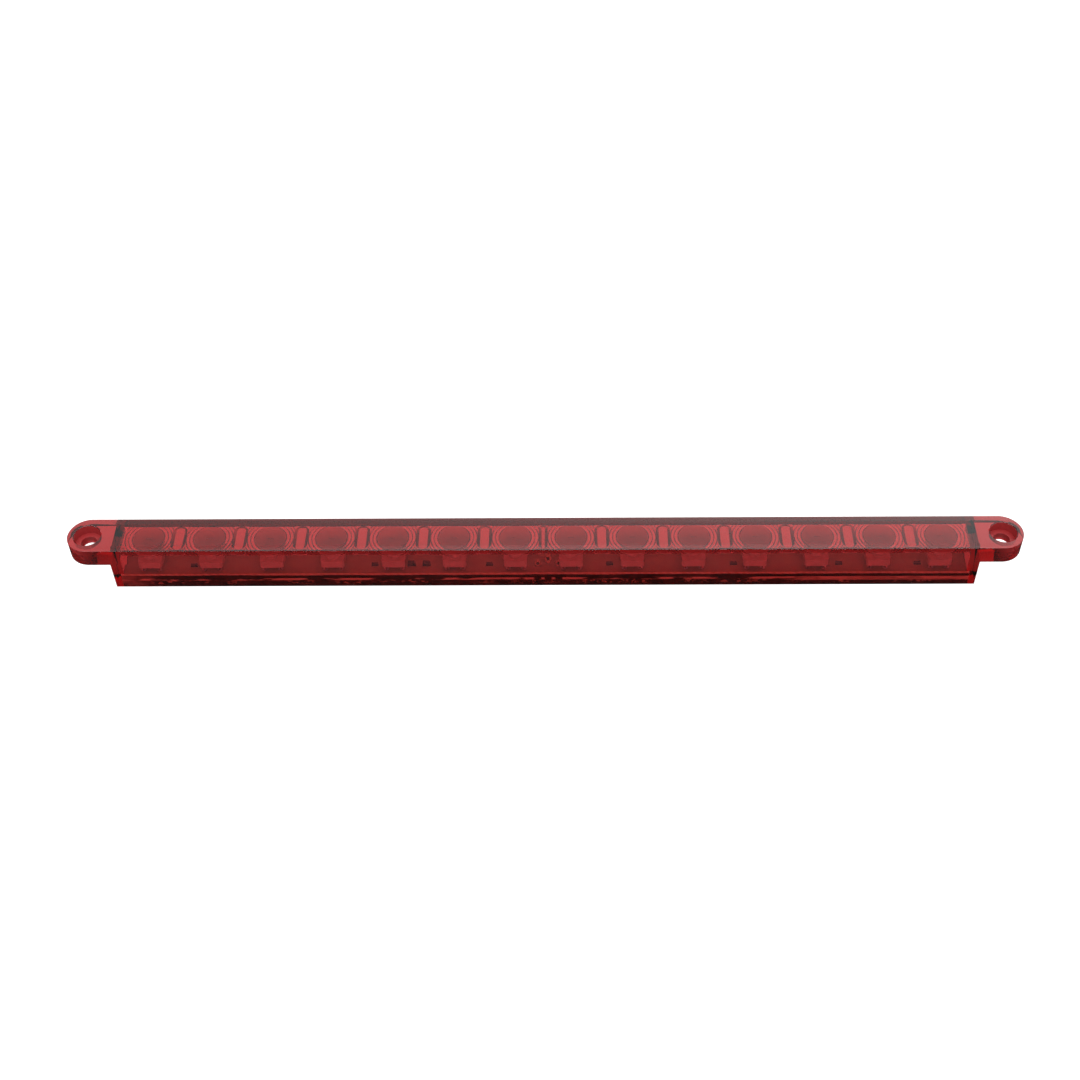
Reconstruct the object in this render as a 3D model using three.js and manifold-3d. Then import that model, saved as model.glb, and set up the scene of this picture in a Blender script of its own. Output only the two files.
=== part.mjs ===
// Sealed LED third brake light. One clear red moulding is lens, side walls and mounting ears together.
// A circuit board with a row of fourteen LEDs lies in it, and black compound poured in at the back
// seals it. Millimetres: X runs along the light, +Z comes out of the lens face, and Z = 0 is the back.
import * as THREE from 'three';
import { mergeVertices } from 'three/addons/utils/BufferGeometryUtils.js';
import Module from 'manifold-3d';

const wasm = await Module();
wasm.setup();

// Housing
const overallLength = 304.8;
const housingWidth = 14.2;
const housingHeight = 16.8;
const bodyLength = 277;
const earThickness = 6.35;
const wallThickness = 2.1;
const faceThickness = 2.8;

// Screw holes in the ears
const screwSpacing = 292.1;
const screwHoleDiameter = 5.2;
const counterboreDiameter = 8.7;
const counterboreDepth = 3.4;

// Row of LEDs and the optics over them
const ledsPerSide = 7;
const ledPitch = 19.6;
const middleLedOffset = 8.9;
const opticDiameter = 10;
const opticPadDiameter = 18.4;
const opticPadLength = 15;
const opticPadDepth = 0.32;
const opticDomeDepth = 0.75;
const opticDomeSteps = 4;
const opticSegments = 24;
const grooveRadii = [6.15, 7.25, 8.2];
const grooveWidth = 0.4;
const grooveFloor = 0.03;
const ribWidth = 2.8;
const middleRibWidth = 1;
const ribDepth = 0.62;
const ribSlope = 0.9;

// Board, compound and the stops that hold the board down
const boardThickness = 1.6;
const boardBottom = 3.5;
const boardClearance = 0.15;
const boardStopLength = 1.2;
const boardStopGap = 0.1;
const compoundThickness = 3.1;
const compoundClearance = 0.1;

// One LED: square epoxy body with a dome, on two lead frames of two legs each
const ledSize = 7.62;
const ledBodyBottom = 6.8;
const ledBodyHeight = 2.6;
const ledCornerRadius = 0.9;
const ledKeyChamfer = 1.6;
const domeDiameter = 5.2;
const domeHeight = 1.8;
const legSpacing = 5.08;
const legWidth = 0.5;
const frameThickness = 0.4;
const shoulderWidth = 1.1;
const legEnd = 3.2;
const frameBarHeight = 0.5;
const frameBarInset = 0.4;
const frameSlotGap = 0.1;
const neckDrop = 0.2;
const neckHeight = 0.3;
const legHoleDiameter = 0.9;

// Where the leads come in
const leadSpacing = 3.4;
const leadGroupX = 1.5;
const outerLeadY = -0.6;
const middleLeadY = 0.9;
const leadBoreDiameter = 1.6;
const fingerWidth = 2.6;
const fingerReach = 4.75;
const grommetHeight = 3.35;
const grommetBackY = 2.6;
const eyeletHoleDiameter = 1.7;
const eyeletDiameter = 1.5;
const eyeletBoreDiameter = 1;
const eyeletFlangeDiameter = 2.5;
const eyeletFlangeThickness = 0.2;

// Surface-mounted parts: [kind, number, X]
const smallParts = [
  ['resistor', 1, -112.9],
  ['resistor', 2, -54.4],
  ['diode', 1, -42.5],
  ['diode', 2, -37.7],
  ['resistor', 3, -17.4],
  ['resistor', 4, 21.2],
  ['resistor', 5, 61],
  ['resistor', 6, 94.8],
  ['resistor', 7, 119.9],
];
const smallPartSizes = {
  resistor: { length: 2, width: 1.2, height: 0.5, cap: 0.4, step: 0.06 },
  diode: { length: 2.4, width: 1.4, height: 0.9, cap: 0.35, step: 0.3 },
};
const smallPartY = -0.8;
const solderGap = 0.05;

const earBottom = housingHeight - earThickness;
const ceiling = housingHeight - faceThickness;
const cavityLength = bodyLength - 2 * wallThickness;
const cavityWidth = housingWidth - 2 * wallThickness;
const boardTop = boardBottom + boardThickness;
const bite = 0.5; // how far one solid runs into the next before they are joined

const ledCentres = [];
for (let i = ledsPerSide - 1; i >= 0; i -= 1) ledCentres.push(-middleLedOffset - i * ledPitch);
for (let i = 0; i < ledsPerSide; i += 1) ledCentres.push(middleLedOffset + i * ledPitch);

const leads = [
  { name: 'ground', x: leadGroupX - leadSpacing, y: outerLeadY },
  { name: 'tail', x: leadGroupX, y: middleLeadY },
  { name: 'stop', x: leadGroupX + leadSpacing, y: outerLeadY },
];

const materials = {
  housing: { color: 0xb02a2e, roughness: 0.12, metalness: 0, transparent: true, opacity: 0.55 },
  board: { color: 0x7c2b22, roughness: 0.45, metalness: 0 },
  compound: { color: 0x141011, roughness: 0.25, metalness: 0 },
  epoxy: { color: 0xd8a39a, roughness: 0.15, metalness: 0 },
  frame: { color: 0xb9b4ab, roughness: 0.3, metalness: 0.9 },
  rubber: { color: 0x101010, roughness: 0.6, metalness: 0 },
  eyelet: { color: 0xc9b27a, roughness: 0.35, metalness: 0.9 },
  resistor: { color: 0x1c1a1a, roughness: 0.5, metalness: 0 },
  diode: { color: 0x222224, roughness: 0.4, metalness: 0 },
};

const part = new THREE.Group();

function addMesh(name, geometry, material) {
  const mesh = new THREE.Mesh(geometry, new THREE.MeshStandardMaterial(materials[material]));
  mesh.name = name;
  part.add(mesh);
}

// Closed three.js geometry to a manifold-3d solid, and back.
function toSolid(geometry) {
  const bare = geometry.index ? geometry.toNonIndexed() : geometry.clone();
  bare.deleteAttribute('normal');
  bare.deleteAttribute('uv');
  const merged = mergeVertices(bare, 1e-4);
  return new wasm.Manifold(new wasm.Mesh({
    numProp: 3,
    vertProperties: merged.attributes.position.array,
    triVerts: new Uint32Array(merged.index.array),
  }));
}

function toGeometry(solid) {
  const { vertProperties, triVerts } = solid.getMesh();
  const geometry = new THREE.BufferGeometry();
  geometry.setAttribute('position', new THREE.BufferAttribute(new Float32Array(vertProperties), 3));
  geometry.setIndex(new THREE.BufferAttribute(new Uint32Array(triVerts), 1));
  geometry.computeVertexNormals();
  return geometry;
}

// Box given by its lowest and highest corners.
function box(low, high) {
  const size = high.map((value, i) => value - low[i]);
  const geometry = new THREE.BoxGeometry(...size);
  geometry.translate(...high.map((value, i) => (value + low[i]) / 2));
  return geometry;
}

// Outline in X and Y, raised from one height to another.
function prism(shape, bottom, top, curveSegments = 12) {
  const geometry = new THREE.ExtrudeGeometry(shape, {
    depth: top - bottom,
    bevelEnabled: false,
    curveSegments,
  });
  geometry.translate(0, 0, bottom);
  return geometry;
}

// Profile of [radius, height] pairs, listed upwards along the outside, turned about the Z axis.
function turned(profile, segments) {
  const points = profile.map(([radius, height]) => new THREE.Vector2(radius, height));
  const geometry = new THREE.LatheGeometry(points, segments);
  geometry.rotateX(Math.PI / 2);
  return geometry;
}

function roundHole(x, y, diameter) {
  const hole = new THREE.Path();
  hole.absarc(x, y, diameter / 2, 0, 2 * Math.PI, true);
  return hole;
}

function rectangle(x0, y0, x1, y1) {
  const shape = new THREE.Shape();
  shape.moveTo(x0, y0);
  shape.lineTo(x1, y0);
  shape.lineTo(x1, y1);
  shape.lineTo(x0, y1);
  shape.closePath();
  return shape;
}

// Round-ended plate that is the lens face and both ears.
function facePlate() {
  const radius = housingWidth / 2;
  const endX = overallLength / 2 - radius;
  const outline = new THREE.Shape();
  outline.absarc(endX, 0, radius, -Math.PI / 2, Math.PI / 2, false);
  outline.absarc(-endX, 0, radius, Math.PI / 2, (3 * Math.PI) / 2, false);
  outline.closePath();
  return prism(outline, earBottom, housingHeight, 16);
}

// Lens under the face over one LED: a convex middle in a thin pad, with V grooves around it.
function optic() {
  const padLevel = ceiling - opticPadDepth;
  const radius = opticDiameter / 2;
  const profile = [];
  for (let i = 0; i <= opticDomeSteps; i += 1) {
    const share = i / opticDomeSteps;
    profile.push([radius * share, padLevel - opticDomeDepth * (1 - share ** 2)]);
  }
  grooveRadii.forEach((groove) => {
    profile.push([groove, padLevel]);
    profile.push([groove + grooveWidth / 2, ceiling - grooveFloor]);
    profile.push([groove + grooveWidth, padLevel]);
  });
  const edge = opticPadDiameter / 2;
  profile.push([edge, padLevel], [edge, ceiling + bite], [0, ceiling + bite]);
  const reach = opticPadLength / 2;
  const side = cavityWidth / 2 + bite;
  const lowest = padLevel - opticDomeDepth - 1;
  const strip = box([-reach, -side, lowest], [reach, side, ceiling + 1]);
  return toSolid(turned(profile, opticSegments)).intersect(toSolid(strip));
}

// Bar across the ceiling with sloping flanks, centred on X = 0.
function rib(width) {
  const narrow = width / 2;
  const wide = narrow + ribSlope;
  const points = [
    [-narrow, ceiling - ribDepth],
    [narrow, ceiling - ribDepth],
    [wide, ceiling],
    [wide, ceiling + bite],
    [-wide, ceiling + bite],
    [-wide, ceiling],
  ];
  const side = cavityWidth / 2 + bite;
  const shape = new THREE.Shape(points.map(([x, z]) => new THREE.Vector2(x, z)));
  const geometry = new THREE.ExtrudeGeometry(shape, { depth: 2 * side, bevelEnabled: false });
  geometry.rotateX(Math.PI / 2);
  geometry.translate(0, side, 0);
  return toSolid(geometry);
}

// Holes through one ear: a plain hole with a wide counterbore for the screw head above it.
function screwHole(x) {
  const holeRadius = screwHoleDiameter / 2;
  const hole = new THREE.CylinderGeometry(holeRadius, holeRadius, 2 * earThickness, 24);
  hole.rotateX(Math.PI / 2);
  hole.translate(x, 0, earBottom);
  const boreRadius = counterboreDiameter / 2;
  const bore = new THREE.CylinderGeometry(boreRadius, boreRadius, 2 * counterboreDepth, 24);
  bore.rotateX(Math.PI / 2);
  bore.translate(x, 0, housingHeight);
  return toSolid(hole).add(toSolid(bore));
}

function lensHousing() {
  const halfBody = bodyLength / 2;
  const halfCavity = cavityLength / 2;
  const outside = housingWidth / 2;
  const inside = cavityWidth / 2;
  let solid = toSolid(facePlate());
  solid = solid.add(toSolid(box([-halfBody, -outside, 0], [halfBody, outside, earBottom + bite])));
  solid = solid.subtract(toSolid(box([-halfCavity, -inside, -1], [halfCavity, inside, ceiling])));

  const oneOptic = optic();
  ledCentres.forEach((x) => {
    solid = solid.add(oneOptic.translate(x, 0, 0));
  });
  solid = solid.add(rib(middleRibWidth));
  const wideRib = rib(ribWidth);
  for (let i = 0; i < ledsPerSide - 1; i += 1) {
    const x = middleLedOffset + (i + 0.5) * ledPitch;
    solid = solid.add(wideRib.translate(x, 0, 0));
    solid = solid.add(wideRib.translate(-x, 0, 0));
  }
  [-1, 1].forEach((side) => {
    const ends = [side * (halfCavity - boardStopLength), side * (halfCavity + bite)].sort((a, b) => a - b);
    const stop = box(
      [ends[0], -inside - bite, boardTop + boardStopGap],
      [ends[1], inside + bite, ceiling + bite],
    );
    solid = solid.add(toSolid(stop));
    solid = solid.subtract(screwHole((side * screwSpacing) / 2));
  });
  return toGeometry(solid);
}

function circuitBoard() {
  const halfX = cavityLength / 2 - boardClearance;
  const halfY = cavityWidth / 2 - boardClearance;
  const outline = rectangle(-halfX, -halfY, halfX, halfY);
  ledCentres.forEach((x) => {
    [-1, 1].forEach((sideX) => [-1, 1].forEach((sideY) => {
      const legX = x + (sideX * legSpacing) / 2;
      outline.holes.push(roundHole(legX, (sideY * legSpacing) / 2, legHoleDiameter));
    }));
  });
  leads.forEach(({ x, y }) => outline.holes.push(roundHole(x, y, eyeletHoleDiameter)));
  return prism(outline, boardBottom, boardTop, 4);
}

// Three fingers that carry the leads up to the board, joined along the back.
function fingerOutline(margin) {
  const radius = fingerWidth / 2 + margin;
  const noseY = fingerWidth / 2 - fingerReach;
  const webY = middleLeadY - margin;
  const backY = grommetBackY + margin;
  const shape = new THREE.Shape();
  shape.moveTo(leads[0].x - radius, backY);
  leads.forEach(({ x }, i) => {
    shape.lineTo(x - radius, noseY);
    shape.absarc(x, noseY, radius, Math.PI, 2 * Math.PI, false);
    if (i < leads.length - 1) {
      shape.lineTo(x + radius, webY);
      shape.lineTo(leads[i + 1].x - radius, webY);
    }
  });
  shape.lineTo(leads[leads.length - 1].x + radius, backY);
  shape.closePath();
  return shape;
}

function grommet() {
  const outline = fingerOutline(0);
  leads.forEach(({ x, y }) => outline.holes.push(roundHole(x, y, leadBoreDiameter)));
  return prism(outline, 0, grommetHeight, 6);
}

// Poured all round the fingers of the grommet.
function compound() {
  const halfX = cavityLength / 2 - compoundClearance;
  const halfY = cavityWidth / 2 - compoundClearance;
  const outline = rectangle(-halfX, -halfY, halfX, halfY);
  outline.holes.push(new THREE.Path(fingerOutline(compoundClearance).getPoints(6).reverse()));
  return prism(outline, 0, compoundThickness);
}

// Flanged tube riveted into the board, for one lead.
function eyelet({ x, y }) {
  const bore = eyeletBoreDiameter / 2;
  const barrel = eyeletDiameter / 2;
  const flange = eyeletFlangeDiameter / 2;
  const seat = boardTop + solderGap;
  const top = seat + eyeletFlangeThickness;
  const geometry = turned([
    [bore, boardBottom],
    [barrel, boardBottom],
    [barrel, seat],
    [flange, seat],
    [flange, top],
    [bore, top],
    [bore, boardBottom],
  ], 12);
  geometry.translate(x, y, 0);
  return geometry;
}

// Square body with one keyed corner, its dome, and two slots underneath for the lead frames.
function ledBody() {
  const half = ledSize / 2;
  const r = ledCornerRadius;
  const outline = new THREE.Shape();
  outline.absarc(half - r, half - r, r, 0, Math.PI / 2, false);
  outline.lineTo(ledKeyChamfer - half, half);
  outline.lineTo(-half, half - ledKeyChamfer);
  outline.absarc(r - half, r - half, r, Math.PI, (3 * Math.PI) / 2, false);
  outline.absarc(half - r, r - half, r, -Math.PI / 2, 0, false);
  outline.closePath();
  const bodyTop = ledBodyBottom + ledBodyHeight;
  let solid = toSolid(prism(outline, ledBodyBottom, bodyTop, 3));

  const profile = [[0, bodyTop - bite], [domeDiameter / 2, bodyTop - bite]];
  const steps = 3;
  for (let i = 0; i <= steps; i += 1) {
    const angle = (i / steps) * (Math.PI / 2);
    profile.push([(domeDiameter / 2) * Math.cos(angle), bodyTop + domeHeight * Math.sin(angle)]);
  }
  profile[profile.length - 1][0] = 0;
  solid = solid.add(toSolid(turned(profile, 12)));

  const slotHalf = frameThickness / 2 + frameSlotGap;
  const slotReach = legSpacing / 2 + legWidth / 2 + frameSlotGap;
  const slotTop = ledBodyBottom + frameBarInset + frameBarHeight + frameSlotGap;
  [-1, 1].forEach((side) => {
    const x = (side * legSpacing) / 2;
    const slot = box([x - slotHalf, -slotReach, ledBodyBottom - 1], [x + slotHalf, slotReach, slotTop]);
    solid = solid.subtract(toSolid(slot));
  });
  return toGeometry(solid);
}

// Two legs with shoulders that stand on the board, joined by a bar inside the body.
function leadFrame() {
  const centre = legSpacing / 2;
  const leg = legWidth / 2;
  const shoulder = shoulderWidth / 2;
  const stand = boardTop + solderGap;
  const neck = ledBodyBottom - neckDrop;
  const barBottom = ledBodyBottom + frameBarInset;
  const barTop = barBottom + frameBarHeight;
  const rightHalf = [
    [centre - leg, barBottom],
    [centre - leg, neck],
    [centre - shoulder, neck - neckHeight],
    [centre - shoulder, stand],
    [centre - leg, stand],
    [centre - leg, legEnd],
    [centre + leg, legEnd],
    [centre + leg, stand],
    [centre + shoulder, stand],
    [centre + shoulder, neck - neckHeight],
    [centre + leg, neck],
    [centre + leg, barTop],
  ];
  const leftHalf = rightHalf.map(([y, z]) => [-y, z]).reverse();
  const points = [...rightHalf, ...leftHalf].map(([y, z]) => new THREE.Vector2(y, z));
  const geometry = new THREE.ExtrudeGeometry(new THREE.Shape(points), {
    depth: frameThickness,
    bevelEnabled: false,
  });
  geometry.translate(0, 0, -frameThickness / 2);
  geometry.rotateX(Math.PI / 2);
  geometry.rotateZ(Math.PI / 2);
  return geometry;
}

// Chip with raised metal ends, or lower ones where the step is large.
function smallPart(kind, x) {
  const { length, width, height, cap, step } = smallPartSizes[kind];
  const half = length / 2;
  const capHeight = kind === 'resistor' ? height : height - step;
  const middleHeight = kind === 'resistor' ? height - step : height;
  const points = [
    [-half, 0],
    [half, 0],
    [half, capHeight],
    [half - cap, capHeight],
    [half - cap, middleHeight],
    [cap - half, middleHeight],
    [cap - half, capHeight],
    [-half, capHeight],
  ].map(([u, v]) => new THREE.Vector2(u, v));
  const geometry = new THREE.ExtrudeGeometry(new THREE.Shape(points), {
    depth: width,
    bevelEnabled: false,
  });
  geometry.translate(0, 0, -width / 2);
  geometry.rotateX(Math.PI / 2);
  geometry.translate(x, smallPartY, boardTop + solderGap);
  return geometry;
}

addMesh('lens_housing', lensHousing(), 'housing');
addMesh('circuit_board', circuitBoard(), 'board');
addMesh('potting_compound', compound(), 'compound');
addMesh('lead_grommet', grommet(), 'rubber');
leads.forEach((lead) => addMesh(`${lead.name}_lead_eyelet`, eyelet(lead), 'eyelet'));

const oneBody = ledBody();
const oneFrame = leadFrame();
ledCentres.forEach((x, i) => {
  const number = String(i + 1).padStart(2, '0');
  addMesh(`led_${number}`, oneBody.clone().translate(x, 0, 0), 'epoxy');
  const offset = legSpacing / 2;
  addMesh(`led_${number}_anode_frame`, oneFrame.clone().translate(x - offset, 0, 0), 'frame');
  addMesh(`led_${number}_cathode_frame`, oneFrame.clone().translate(x + offset, 0, 0), 'frame');
});

smallParts.forEach(([kind, number, x]) => addMesh(`${kind}_${number}`, smallPart(kind, x), kind));

export default part;
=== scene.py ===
# Looks for the sealed LED third brake light: clear red housing, board, LEDs and black compound
import math

import bmesh
import bpy
from mathutils import Matrix, Vector, noise


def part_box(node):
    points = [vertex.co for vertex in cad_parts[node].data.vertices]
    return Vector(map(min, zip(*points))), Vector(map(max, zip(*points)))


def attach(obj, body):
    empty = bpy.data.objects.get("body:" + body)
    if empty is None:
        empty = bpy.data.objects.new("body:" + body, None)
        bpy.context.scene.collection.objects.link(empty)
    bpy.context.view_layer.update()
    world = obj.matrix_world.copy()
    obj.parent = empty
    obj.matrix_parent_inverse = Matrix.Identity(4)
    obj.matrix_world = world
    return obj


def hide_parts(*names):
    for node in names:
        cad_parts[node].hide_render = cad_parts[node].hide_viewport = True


mm = 0.001
tolerance = 0.01 * mm  # how near a face has to be to count as part of a surface
bite = 0.5 * mm  # how far a tool runs into the solid it joins or cuts
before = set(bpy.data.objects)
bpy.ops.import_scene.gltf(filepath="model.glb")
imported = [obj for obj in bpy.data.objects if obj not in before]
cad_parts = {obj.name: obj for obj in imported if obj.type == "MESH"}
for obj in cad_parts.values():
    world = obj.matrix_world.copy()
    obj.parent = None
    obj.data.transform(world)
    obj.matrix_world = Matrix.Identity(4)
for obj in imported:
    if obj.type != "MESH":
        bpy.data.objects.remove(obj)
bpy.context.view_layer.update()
scene = bpy.context.scene
print("frame loaded:", len(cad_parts), "CAD nodes")

ledNames = sorted(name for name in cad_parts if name.startswith("led_") and name[4:].isdigit())
anodeNames = [name + "_anode_frame" for name in ledNames]
cathodeNames = [name + "_cathode_frame" for name in ledNames]


def boxCentre(node):
    low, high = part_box(node)
    return (low + high) / 2


# Every row repeats on the LED pitch, counted outwards from the middle of the light
ledRow = {
    "perSide": len(ledNames) // 2,
    "middleOffset": boxCentre(ledNames[len(ledNames) // 2]).x,
    "pitch": boxCentre(ledNames[-1]).x - boxCentre(ledNames[-2]).x,
}


def linkPiece(name, mesh):
    piece = bpy.data.objects.new(name, mesh)
    scene.collection.objects.link(piece)
    return piece


def dropPiece(piece):
    bpy.data.objects.remove(piece)


def meshFromBmesh(name, shape):
    mesh = bpy.data.meshes.new(name)
    shape.to_mesh(mesh)
    shape.free()
    return mesh


def smoothByAngle(mesh, degrees=30):
    for polygon in mesh.polygons:
        polygon.use_smooth = True
    mesh.set_sharp_from_angle(angle=math.radians(degrees))


# Evaluates a piece's modifiers into a plain mesh and takes them off
def flatten(piece):
    depsgraph = bpy.context.evaluated_depsgraph_get()
    mesh = bpy.data.meshes.new_from_object(piece.evaluated_get(depsgraph))
    piece.modifiers.clear()
    piece.data = mesh
    return piece


def combine(base, tool, operation):
    modifier = base.modifiers.new("combine", "BOOLEAN")
    modifier.operation = operation
    modifier.solver = "EXACT"
    modifier.object = tool
    flatten(base)
    dropPiece(tool)
    return base


# Softens every edge that turns by more than the given angle
def roundEdges(shape, width, segments=3, degrees=35):
    limit = math.radians(degrees)
    edges = [e for e in shape.edges if e.is_manifold and e.calc_face_angle() > limit]
    bmesh.ops.bevel(shape, geom=edges, offset=width, segments=segments, profile=0.5, affect="EDGES")


# Closed solid from a list of same-sized outlines, one above the other
def loftShape(outlines):
    shape = bmesh.new()
    rings = [[shape.verts.new(point) for point in outline] for outline in outlines]
    for lower, upper in zip(rings, rings[1:]):
        for i in range(len(lower)):
            j = (i + 1) % len(lower)
            shape.faces.new((lower[i], lower[j], upper[j], upper[i]))
    shape.faces.new(list(reversed(rings[0])))
    shape.faces.new(rings[-1])
    return shape


# Solid of revolution about Z; the profile runs upwards along the outside, from axis to axis
def turnedShape(profile, segments):
    shape = bmesh.new()
    rings = []
    for radius, height in profile:
        if radius < 1e-7:
            rings.append([shape.verts.new((0, 0, height))])
            continue
        turn = 2 * math.pi / segments
        rings.append([
            shape.verts.new((radius * math.cos(i * turn), radius * math.sin(i * turn), height))
            for i in range(segments)
        ])
    for lower, upper in zip(rings, rings[1:]):
        for i in range(segments):
            j = (i + 1) % segments
            corners = [lower[i % len(lower)], lower[j % len(lower)], upper[j % len(upper)], upper[i % len(upper)]]
            unique = list(dict.fromkeys(corners))
            if len(unique) > 2:
                shape.faces.new(unique)
    return shape


# Corner points of a rounded rectangle, anticlockwise
def roundedOutline(halfX, halfY, radius, height, steps=6):
    points = []
    for quarter, (sideX, sideY) in enumerate(((1, 1), (-1, 1), (-1, -1), (1, -1))):
        for i in range(steps + 1):
            angle = (quarter + i / steps) * math.pi / 2
            x = sideX * (halfX - radius) + radius * math.cos(angle)
            y = sideY * (halfY - radius) + radius * math.sin(angle)
            points.append(Vector((x, y, height)))
    return points


def blockShape(low, high):
    shape = bmesh.new()
    centre = (Vector(low) + Vector(high)) / 2
    size = Vector(high) - Vector(low)
    place = Matrix.Translation(centre) @ Matrix.Diagonal((*size, 1))
    bmesh.ops.create_cube(shape, size=1, matrix=place)
    return shape


def moveShape(shape, offset):
    bmesh.ops.translate(shape, verts=shape.verts, vec=offset)
    return shape


def joinShapes(shapes):
    whole = bmesh.new()
    for shape in shapes:
        mesh = meshFromBmesh("part", shape)
        whole.from_mesh(mesh)
        bpy.data.meshes.remove(mesh)
    return whole


def addNode(tree, kind, settings=None, **inputs):
    node = tree.nodes.new(kind)
    for key, value in (settings or {}).items():
        setattr(node, key, value)
    for key, value in inputs.items():
        node.inputs[key.replace("_", " ")].default_value = value
    return node


def feed(tree, socket, value):
    if isinstance(value, bpy.types.NodeSocket):
        tree.links.new(value, socket)
    else:
        socket.default_value = value


# Each value is a socket or a plain number
def calculate(tree, operation, *values):
    node = addNode(tree, "ShaderNodeMath", {"operation": operation})
    for socket, value in zip(node.inputs, values):
        feed(tree, socket, value)
    return node.outputs[0]


def multiply(tree, first, *others):
    for other in others:
        first = calculate(tree, "MULTIPLY", first, other)
    return first


# Copies a pattern outwards from the middle to both sides, on a fixed pitch
def buildRowTree():
    tree = bpy.data.node_groups.new("mirroredRow", "GeometryNodeTree")
    tree.interface.new_socket("Geometry", in_out="OUTPUT", socket_type="NodeSocketGeometry")
    for label, kind in (
        ("Per side", "NodeSocketInt"),
        ("Middle offset", "NodeSocketFloat"),
        ("Pitch", "NodeSocketFloat"),
        ("Pattern", "NodeSocketObject"),
        ("Finish", "NodeSocketMaterial"),
    ):
        tree.interface.new_socket(label, in_out="INPUT", socket_type=kind)
    link = tree.links.new
    given = addNode(tree, "NodeGroupInput")
    rows = addNode(tree, "GeometryNodeJoinGeometry")
    for side in (1, -1):
        line = addNode(tree, "GeometryNodeMeshLine", {"mode": "OFFSET"})
        link(given.outputs["Per side"], line.inputs["Count"])
        for source, target in (("Middle offset", "Start Location"), ("Pitch", "Offset")):
            along = addNode(tree, "ShaderNodeCombineXYZ")
            link(multiply(tree, given.outputs[source], side), along.inputs["X"])
            link(along.outputs[0], line.inputs[target])
        link(line.outputs["Mesh"], rows.inputs["Geometry"])
    pattern = addNode(tree, "GeometryNodeObjectInfo")
    link(given.outputs["Pattern"], pattern.inputs["Object"])
    copies = addNode(tree, "GeometryNodeInstanceOnPoints")
    link(rows.outputs[0], copies.inputs["Points"])
    link(pattern.outputs["Geometry"], copies.inputs["Instance"])
    real = addNode(tree, "GeometryNodeRealizeInstances")
    link(copies.outputs[0], real.inputs[0])
    finish = addNode(tree, "GeometryNodeSetMaterial")
    link(real.outputs[0], finish.inputs["Geometry"])
    link(given.outputs["Finish"], finish.inputs["Material"])
    result = addNode(tree, "NodeGroupOutput")
    link(finish.outputs[0], result.inputs["Geometry"])
    return tree


rowTree = buildRowTree()


# One mesh holding the pattern at every place of the row
def repeatInRow(name, shape, finish, row=ledRow):
    pattern = linkPiece(name + "_pattern", meshFromBmesh(name + "_pattern", shape))
    piece = linkPiece(name, bpy.data.meshes.new(name))
    modifier = piece.modifiers.new("row", "NODES")
    modifier.node_group = rowTree
    sockets = {s.name: s.identifier for s in rowTree.interface.items_tree if s.in_out == "INPUT"}
    modifier[sockets["Per side"]] = row["perSide"]
    modifier[sockets["Middle offset"]] = row["middleOffset"]
    modifier[sockets["Pitch"]] = row["pitch"]
    modifier[sockets["Pattern"]] = pattern
    modifier[sockets["Finish"]] = finish
    flatten(piece)
    dropPiece(pattern)
    return piece


def placePiece(piece, slotName, *nodes):
    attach(piece, "root")
    if nodes:
        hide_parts(*nodes)


# Replaces whatever materials the piece had
def setMaterials(piece, *materials):
    piece.data.materials.clear()
    for material in materials:
        piece.data.materials.append(material)


def startMaterial(name):
    material = bpy.data.materials.new(name)
    material.use_nodes = True
    return material, material.node_tree, material.node_tree.nodes["Principled BSDF"]


def objectNoise(tree, scale, detail=2.0, stretch=(1, 1, 1)):
    place = addNode(tree, "ShaderNodeTexCoord")
    mapping = addNode(tree, "ShaderNodeMapping", Scale=stretch)
    texture = addNode(tree, "ShaderNodeTexNoise", Scale=scale, Detail=detail)
    tree.links.new(place.outputs["Object"], mapping.inputs["Vector"])
    tree.links.new(mapping.outputs["Vector"], texture.inputs["Vector"])
    return texture.outputs["Fac"]


def splitPlace(tree, kind="Object"):
    place = addNode(tree, "ShaderNodeTexCoord")
    split = addNode(tree, "ShaderNodeSeparateXYZ")
    tree.links.new(place.outputs[kind], split.inputs[0])
    return split.outputs


# Maps one range on to another; the default one is where noise values lie
def spread(tree, value, low, high, fromLow=0.3, fromHigh=0.7):
    node = addNode(tree, "ShaderNodeMapRange")
    node.inputs["From Min"].default_value = fromLow
    node.inputs["From Max"].default_value = fromHigh
    node.inputs["To Min"].default_value = low
    node.inputs["To Max"].default_value = high
    tree.links.new(value, node.inputs["Value"])
    return node.outputs["Result"]


def blendColours(tree, factor, first, second):
    node = addNode(tree, "ShaderNodeMix", {"data_type": "RGBA"})
    for socket, value in ((node.inputs[6], first), (node.inputs[7], second)):
        feed(tree, socket, value if isinstance(value, bpy.types.NodeSocket) else (*value, 1))
    tree.links.new(factor, node.inputs[0])
    return node.outputs[2]


def addBump(tree, shader, height, strength, distance):
    node = addNode(tree, "ShaderNodeBump", Strength=strength, Distance=distance)
    tree.links.new(height, node.inputs["Height"])
    tree.links.new(node.outputs["Normal"], shader.inputs["Normal"])


# Blends the two colours, and the roughness between its two ends, each by a pattern
def colourSurface(tree, shader, pattern, colours, roughPattern, roughness):
    colour = blendColours(tree, spread(tree, pattern, 0, 1), *colours)
    tree.links.new(colour, shader.inputs["Base Color"])
    tree.links.new(spread(tree, roughPattern, *roughness), shader.inputs["Roughness"])


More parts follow.
